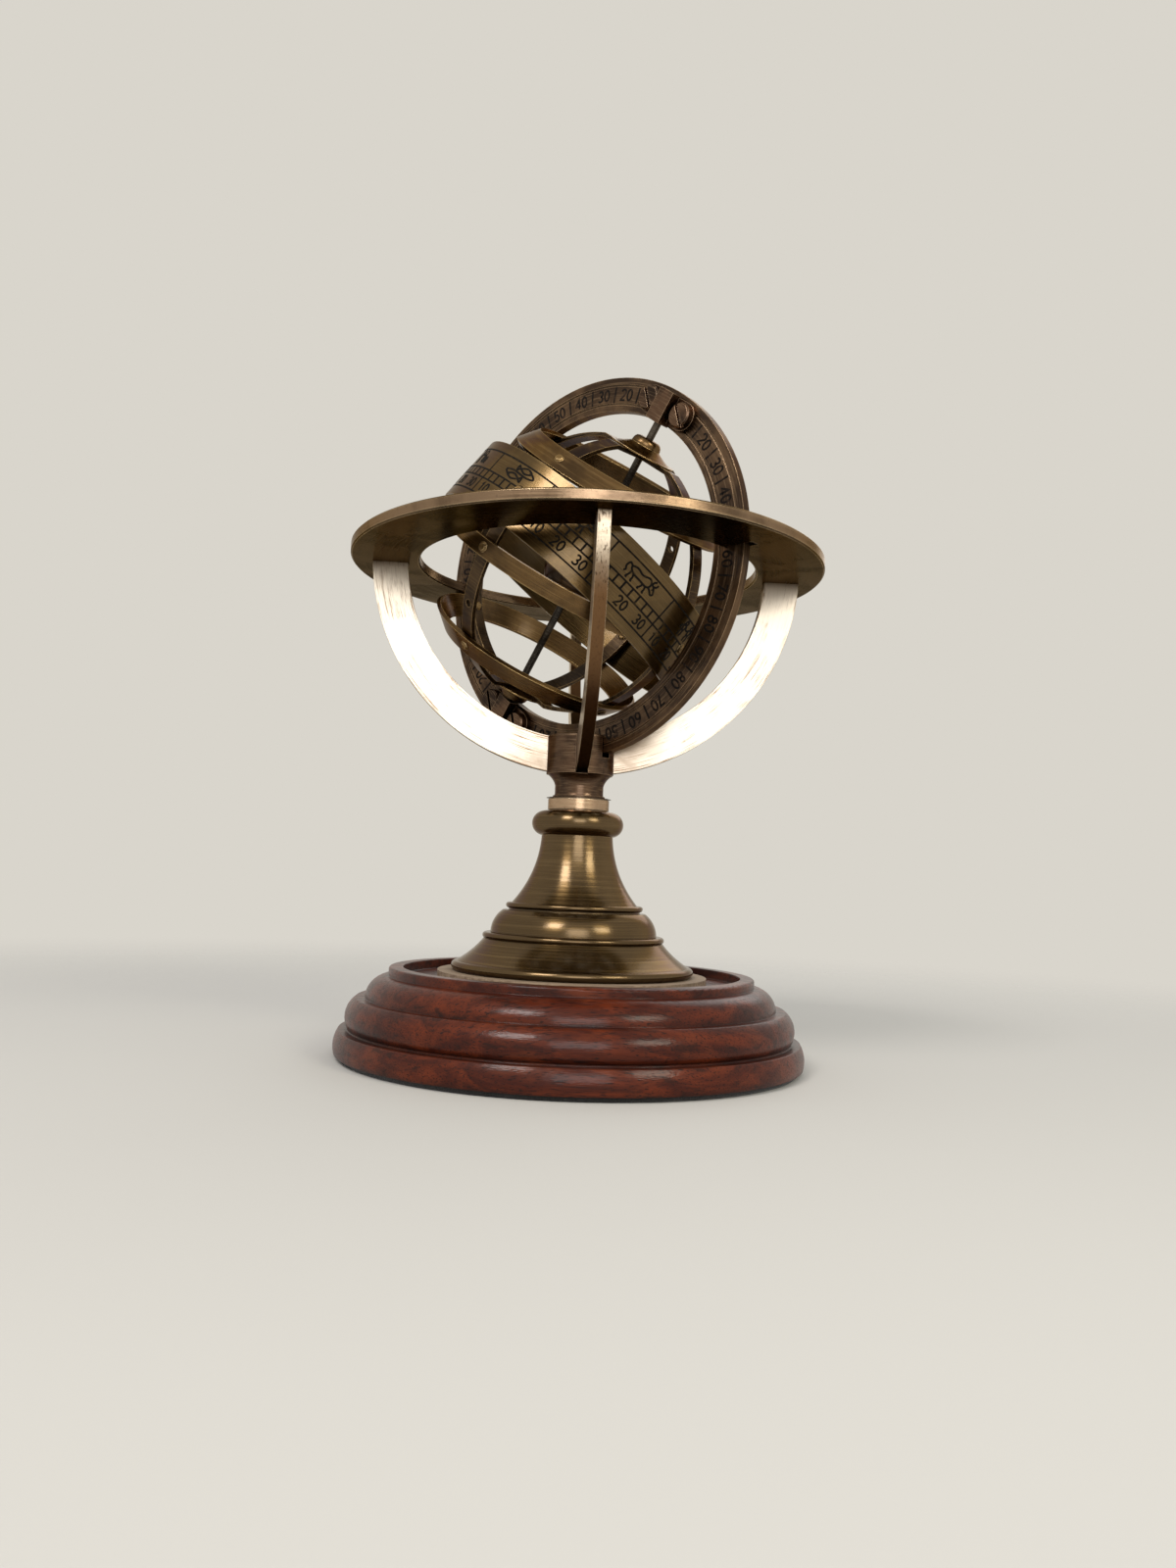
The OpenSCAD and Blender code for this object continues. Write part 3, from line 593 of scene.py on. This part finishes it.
# Each figure is a few lines in millimetres round its middle, at most 9 wide and 4 high
RAM = [
    smooth([(-3.0, 0.1), (-2.2, 0.9), (0, 0.8), (1.7, 1.1), (2.2, 0.2), (1.2, -0.7), (-1.2, -0.6),
            (-2.7, -0.7), (-3.0, 0.1)]),
    smooth([(2.0, 0.9), (3.0, 1.1), (4.0, 0.3), (3.5, -0.1), (2.3, 0.2)]),
    smooth([(2.9, 1.1), (2.7, 1.9), (1.9, 1.7), (2.0, 1.1), (2.5, 1.3)]),
    smooth([(-1.9, 0.1), (-1.5, 0.4), (-1.1, 0.1)]),
    smooth([(-0.4, 0.1), (0.0, 0.4), (0.4, 0.1)]),
] + legs((-2.5, -0.6, -2.8), (-1.8, -0.6, -1.6), (1.0, -0.6, 0.8), (1.6, -0.5, 1.9))

BULL = [
    smooth([(-3.5, 0.5), (-2.2, 1.1), (-0.4, 0.8), (1.5, 1.4), (2.4, 0.5), (1.8, -0.5), (-0.2, -0.5),
            (-2.4, -0.4), (-3.5, 0.5)]),
    smooth([(2.2, 0.9), (3.2, 0.6), (4.1, -0.5), (3.7, -1.0), (2.9, -0.5), (2.2, -0.2)]),
    smooth([(3.0, 0.7), (3.7, 1.0), (3.9, 1.7)]),
    smooth([(2.6, 0.8), (2.7, 1.5), (3.2, 1.9)]),
    smooth([(-3.4, 0.6), (-4.3, 0.9), (-4.6, -0.1), (-4.2, -0.9), (-4.5, -1.3)]),
    [(3.2, 0.1), (3.4, 0.0)],
] + legs((-3.0, -0.1, -3.3), (-2.2, -0.4, -1.9), (0.8, -0.5, 0.3), (1.5, -0.5, 1.8))

TWINS = mirrored([
    arc(1.3, 1.45, 0.42, 0.45),
    [(0.8, 0.9), (0.9, -0.3), (1.7, -0.3), (1.8, 0.9), (0.8, 0.9)],
    smooth([(1.1, -0.3), (0.9, -1.2), (1.1, -1.9)]),
    smooth([(1.6, -0.3), (1.9, -1.1), (1.8, -1.9)]),
    smooth([(0.8, 0.8), (0.4, 0.3), (0.0, 0.2)]),
    smooth([(1.8, 0.8), (2.6, 0.3), (2.4, -0.5)]),
])

CRAB = mirrored([
    arc(0, -0.1, 1.7, 1.0, -90, 90, 9),
    smooth([(1.3, 0.6), (2.3, 1.1), (3.1, 0.7)]),
    smooth([(3.1, 0.7), (3.8, 1.2), (3.3, 1.9), (3.2, 1.4), (2.6, 1.5), (3.1, 0.7)]),
    smooth([(1.6, 0.0), (2.6, 0.1), (3.3, -0.6)]),
    smooth([(1.5, -0.5), (2.4, -0.6), (2.9, -1.4)]),
    smooth([(1.0, -0.9), (1.7, -1.3), (1.9, -1.9)]),
    [(0.4, 0.8), (0.5, 1.2)],
    arc(0, -0.1, 0.9, 0.5, -60, 60, 6),
])

LION = [
    smooth([(-3.2, 0.2), (-2.0, 0.8), (0.4, 0.6), (1.8, 0.9)]),
    smooth([(-3.2, 0.2), (-2.6, -0.7), (0.2, -0.5), (1.8, -0.4)]),
    arc(2.6, 0.7, 1.05, 1.05),
    arc(2.9, 0.6, 0.55, 0.55),
    [(3.1, 0.7), (3.25, 0.75)],
    smooth([(-3.2, 0.2), (-4.2, 0.2), (-4.3, 1.1), (-3.5, 1.6)]),
    arc(-3.4, 1.6, 0.25, 0.2),
] + legs((-2.7, -0.6, -3.1), (-2.0, -0.6, -1.8), (0.9, -0.5, 0.7), (1.7, -0.4, 2.2))

MAIDEN = [
    arc(0, 1.45, 0.42, 0.45),
    [(-0.4, 1.0), (-0.7, 0.0), (-1.5, -1.9), (1.5, -1.9), (0.7, 0.0), (0.4, 1.0), (-0.4, 1.0)],
    smooth([(0.5, 0.8), (1.4, 0.4), (2.2, 0.9)]),
    smooth([(2.1, -0.4), (2.3, 0.8), (2.0, 1.8)]),
    smooth([(2.2, 0.7), (2.8, 1.3)]),
    smooth([(2.2, 1.0), (1.6, 1.5)]),
    smooth([(-0.5, 0.8), (-1.5, 0.2), (-1.2, -0.5)]),
    [(-0.3, -0.2), (-0.5, -1.6)],
    [(0.3, -0.2), (0.5, -1.6)],
]

SCALES = mirrored([
    smooth([(0, 1.6), (1.4, 1.5), (2.7, 1.2)]),
    [(2.7, 1.2), (1.8, -0.5)],
    [(2.7, 1.2), (3.6, -0.5)],
    [(1.6, -0.5), (3.8, -0.5)],
    smooth([(1.6, -0.5), (2.1, -1.1), (3.3, -1.1), (3.8, -0.5)]),
    [(0.0, -1.8), (0.9, -1.8)],
]) + [[(0, 1.9), (0, -1.8)]]


def scorpion():
    """Four body rings with a curled tail, and claws and three legs on each side."""
    lines = [
        arc(1.5, 0, 1.0, 0.7),
        arc(0.2, 0, 0.45, 0.6),
        arc(-0.6, 0.05, 0.4, 0.5),
        arc(-1.3, 0.1, 0.35, 0.4),
        smooth([(-1.6, 0.1), (-2.8, 0.0), (-3.7, 0.6), (-3.6, 1.5), (-2.9, 1.8), (-2.4, 1.3)]),
    ]
    for side in (-1, 1):
        claw = [(2.3, 0.4), (3.0, 1.1), (3.9, 0.9), (4.3, 0.3), (3.6, 0.6)]
        lines.append(smooth([(x, side * y) for x, y in claw]))
    for side in (-1, 1):
        for x in (0.2, 1.0, 1.8):
            lines.append(smooth([(x, side * 0.6), (x - 0.2, side * 1.2), (x - 0.7, side * 1.7)]))
    return lines


ARCHER = [
    smooth([(-3.2, 0.1), (-2.0, 0.7), (0.2, 0.3), (1.5, 0.5), (1.6, -0.4), (-0.4, -0.6), (-2.6, -0.6),
            (-3.2, 0.1)]),
    smooth([(1.0, 0.4), (1.1, 1.1), (1.8, 1.1), (1.6, 0.2)]),
    arc(1.4, 1.55, 0.32, 0.35),
    smooth([(2.8, 1.9), (3.6, 0.9), (2.8, -0.2)]),
    [(2.8, 1.9), (2.8, -0.2)],
    [(1.5, 0.9), (4.5, 0.9)],
    [(4.1, 1.15), (4.5, 0.9), (4.1, 0.65)],
    smooth([(-3.2, 0.2), (-4.0, 0.4), (-4.3, -0.6)]),
] + legs((-2.7, -0.5, -3.0), (-2.0, -0.6, -1.7), (0.6, -0.6, 0.4), (1.3, -0.5, 1.8))

SEA_GOAT = [
    smooth([(2.1, 0.9), (3.2, 1.0), (3.9, 0.2), (3.3, 0.0), (2.4, 0.1), (2.1, -0.5), (0.6, -0.8),
            (-1.0, -0.6), (-2.4, -1.2), (-3.7, -0.8), (-3.8, 0.3), (-3.1, 0.6)]),
    smooth([(2.1, 0.9), (1.2, 0.7), (-0.6, 0.7), (-2.0, -0.2), (-2.9, -0.3), (-3.1, 0.6)]),
    smooth([(-3.1, 0.6), (-4.0, 1.2), (-4.0, 1.8)]),
    smooth([(-3.1, 0.6), (-2.6, 1.2), (-2.2, 1.4)]),
    smooth([(2.7, 1.0), (2.2, 1.7), (1.4, 1.9)]),
    smooth([(3.0, 1.0), (2.8, 1.6), (2.1, 1.9)]),
] + legs((1.3, -0.7, 0.9), (2.0, -0.6, 2.4))


def water_bearer():
    """A person who tips a jug, with three streams of water."""
    lines = [
        arc(-1.6, 1.45, 0.42, 0.45),
        [(-2.1, 0.9), (-2.0, -0.3), (-1.2, -0.3), (-1.1, 0.9), (-2.1, 0.9)],
        smooth([(-1.9, -0.3), (-2.2, -1.1), (-2.1, -1.9)]),
        smooth([(-1.3, -0.3), (-1.0, -1.1), (-1.1, -1.9)]),
        smooth([(-1.1, 0.8), (-0.3, 0.5), (0.3, 1.0)]),
        smooth([(0.2, 1.5), (0.9, 1.8), (1.6, 1.2), (1.4, 0.6), (0.7, 0.5), (0.2, 1.0), (0.2, 1.5)]),
    ]
    for stream in range(3):
        waves = [(0.9 + 0.6 * i, 0.2 + 0.25 * (-1) ** i - 0.6 * stream - 0.08 * i) for i in range(6)]
        lines.append(smooth(waves))
    return lines


def fishes():
    """Two fishes that swim apart, with a cord between them."""
    fish = [(-0.6, 1.1), (1.2, 1.8), (3.0, 1.2), (1.2, 0.5), (-0.6, 1.1), (-1.5, 1.6), (-1.4, 0.5),
            (-0.6, 1.1)]
    lines = [smooth([(side * x, side * y) for x, y in fish]) for side in (-1, 1)]
    lines.append(smooth([(-3.2, -1.2), (-4.2, -0.4), (-2.0, 0.1), (2.0, -0.1), (4.2, 0.4), (3.2, 1.2)]))
    lines += [[(2.3, 1.3), (2.45, 1.3)], [(-2.3, -1.3), (-2.45, -1.3)]]
    return lines


FIGURES = [RAM, BULL, TWINS, CRAB, LION, MAIDEN, SCALES, scorpion(), ARCHER, SEA_GOAT, water_bearer(),
           fishes()]


def field_strokes(field):
    """One field of the band: its two borders, its part of the ladder, its figure and its numbers."""
    start = (field + FIELD_START) * FIELD
    strokes = [([(start, TOP_LINE), (start, LADDER_TOP)], BORDER_LINE),
               ([(start, LADDER_LOW), (start, LOW_LINE)], BORDER_LINE)]
    for rung in range(RUNGS):
        x = start + rung * FIELD / RUNGS
        strokes.append(([(x, LADDER_TOP), (x, LADDER_LOW)], RUNG_LINE))
    figure = moved(FIGURES[field], start + FIELD / 2, FIGURE_LINE, 0, FIGURE_SIZE)
    strokes += [(line, DRAWN_LINE) for line in figure]
    for part, text in enumerate(FIELD_NUMBERS):
        x = start + (part + 0.5) * FIELD / len(FIELD_NUMBERS)
        label = moved(number(text, FIELD_NUMBER), x, (LADDER_LOW + LOW_LINE) / 2)
        strokes += [(line, FIELD_NUMBER_LINE) for line in label]
    return strokes


def band_strokes():
    """Four lines round the band, and what its twelve fields hold."""
    round_band = FIELDS * FIELD
    levels = (TOP_LINE, LADDER_TOP, LADDER_LOW, LOW_LINE)
    strokes = [([(0, v), (round_band, v)], BORDER_LINE) for v in levels]
    for field in range(FIELDS):
        strokes += field_strokes(field)
    return strokes


# The degree scale on top of the horizon ring

RING_OUT = reach("horizon_ring", STAND)[1]
TICKS_OUT, TICKS_IN, RING_NUMBERS, INNER_CIRCLE = (RING_OUT - inset for inset in (1.0, 2.8, 4.6, 6.3))
RING_NUMBER = 1.7
TICK_LINE = 0.22
RING_NUMBER_LINE = 0.24


def on_ring(point, height):
    return Vector((point[0], point[1], RING_TOP + height)) * MM


def ring_strokes():
    """Three circles, with a tick every 5 degrees between the outer two and a number inside every 10."""
    strokes = [(arc(0, 0, r, r, steps=180), TICK_LINE) for r in (TICKS_OUT, TICKS_IN, INNER_CIRCLE)]
    for degree in range(0, 360, 5):
        a = math.radians(degree)
        low = TICKS_IN if degree % 10 == 0 else (TICKS_IN + TICKS_OUT) / 2
        strokes.append(([(r * math.sin(a), -r * math.cos(a)) for r in (low, TICKS_OUT)], TICK_LINE))
        if degree % 10 == 0:
            label = number(str(degree or 360), RING_NUMBER)
            x, y = RING_NUMBERS * math.sin(a), -RING_NUMBERS * math.cos(a)
            strokes += [(line, RING_NUMBER_LINE) for line in moved(label, x, y, 180 - degree)]
    return strokes


dial_ink = ink("dial_ink", "#120c08", "#463427")
band_ink = ink("band_ink", "#0e0a06", "#3c2e18")
engrave("dial_numbers", dial_strokes(), on_dial, "meridian", dial_ink)
engrave("zodiac_engraving", band_strokes(), on_band, "cage", band_ink)
engrave("horizon_scale", ring_strokes(), on_ring, "stand", band_ink)


# Floor, light and camera

PALE = rgb("#d9d5cc")
STUDIO = (0.95, 0.97, 1.0, 1.0)
FLOOR_SIZE = 6.0
FLOOR_KEPT = 0.12
FLOOR_GONE = 0.42
LAMP_TARGET = Vector((0, 0, 0.08))

# Close to where the photograph was taken from, with its yaw, pitch and roll in degrees. Its focal length is
# given in pixels of its longer side, which the sensor's size in millimetres turns into a lens.
CAMERA_PLACE = Vector((-14.4, -252.3, 38.6)) * MM
CAMERA_TURNS = (-3.69, 4.48, 2.24)
FOCAL_PIXELS = 1202
IMAGE_PIXELS = 1600
SENSOR = 36.0


def floor():
    """A plain pale floor that fades into the backdrop away from the object."""
    mesh = bpy.data.meshes.new("floor")
    h = FLOOR_SIZE / 2
    mesh.from_pydata([(-h, -h, 0), (h, -h, 0), (h, h, 0), (-h, h, 0)], [], [[0, 1, 2, 3]])
    s = Shader("floor", Base_Color=rgb("#cfccc5"), Roughness=0.9)
    gone = s.fade(s.vector("LENGTH", s.place), FLOOR_KEPT, FLOOR_GONE)
    clear = s.node("BsdfTransparent").outputs[0]
    both = s.node("MixShader", {0: gone, 1: s.surface.outputs[0], 2: clear}).outputs[0]
    s.tree.links.new(both, s.tree.nodes["Material Output"].inputs["Surface"])
    mesh.materials.append(s.material)
    piece = bpy.data.objects.new("floor", mesh)
    bpy.context.scene.collection.objects.link(piece)


def sky():
    """A pale backdrop for the camera, metal and gloss, and softer light for everything else."""
    world = bpy.data.worlds.new("studio")
    world.use_nodes = True
    bpy.context.scene.world = world
    tree = world.node_tree
    tree.nodes.clear()
    path = tree.nodes.new("ShaderNodeLightPath")
    seen = path.outputs["Is Camera Ray"]
    for other in ("Is Glossy Ray", "Is Transmission Ray"):
        either = tree.nodes.new("ShaderNodeMath")
        either.operation = "MAXIMUM"
        tree.links.new(seen, either.inputs[0])
        tree.links.new(path.outputs[other], either.inputs[1])
        seen = either.outputs[0]
    pale, soft = (tree.nodes.new("ShaderNodeBackground") for _ in range(2))
    pale.inputs["Color"].default_value = PALE
    soft.inputs["Color"].default_value = STUDIO
    soft.inputs["Strength"].default_value = 0.5
    choice = tree.nodes.new("ShaderNodeMixShader")
    tree.links.new(seen, choice.inputs[0])
    tree.links.new(soft.outputs[0], choice.inputs[1])
    tree.links.new(pale.outputs[0], choice.inputs[2])
    tree.links.new(choice.outputs[0], tree.nodes.new("ShaderNodeOutputWorld").inputs["Surface"])


def lamp(name, at, size, power, colour=(1.0, 1.0, 1.0)):
    """A square soft box that looks at the middle of the object."""
    light = bpy.data.lights.new(name, "AREA")
    light.size = size
    light.energy = power
    light.color = colour
    piece = bpy.data.objects.new(name, light)
    bpy.context.scene.collection.objects.link(piece)
    piece.location = at
    piece.rotation_euler = (LAMP_TARGET - Vector(at)).to_track_quat("-Z", "Y").to_euler()


def camera():
    """The photograph's viewpoint: low and close in front, tilted up a little and turned on its axis."""
    yaw, pitch, roll = (math.radians(a) for a in CAMERA_TURNS)
    data = bpy.data.cameras.new("camera")
    data.sensor_width = SENSOR
    data.lens = SENSOR * FOCAL_PIXELS / IMAGE_PIXELS
    data.clip_start = 0.01
    piece = bpy.data.objects.new("camera", data)
    bpy.context.scene.collection.objects.link(piece)
    piece.matrix_world = (Matrix.Translation(CAMERA_PLACE) @ Matrix.Rotation(yaw, 4, "Z")
                          @ Matrix.Rotation(math.pi / 2 + pitch, 4, "X") @ Matrix.Rotation(roll, 4, "Z"))
    bpy.context.scene.camera = piece


floor()
sky()
lamp("front", (0.02, -0.62, 0.24), 0.30, 1.05)
lamp("key", (-0.35, -0.50, 0.60), 0.25, 3.0, (1.0, 0.96, 0.93))
lamp("fill", (0.45, -0.55, 0.45), 0.25, 1.6, (1.0, 0.96, 0.80))
lamp("rim", (0.3, 0.6, 0.5), 0.5, 1.0)
camera()
bpy.context.scene.view_settings.view_transform = "Standard"
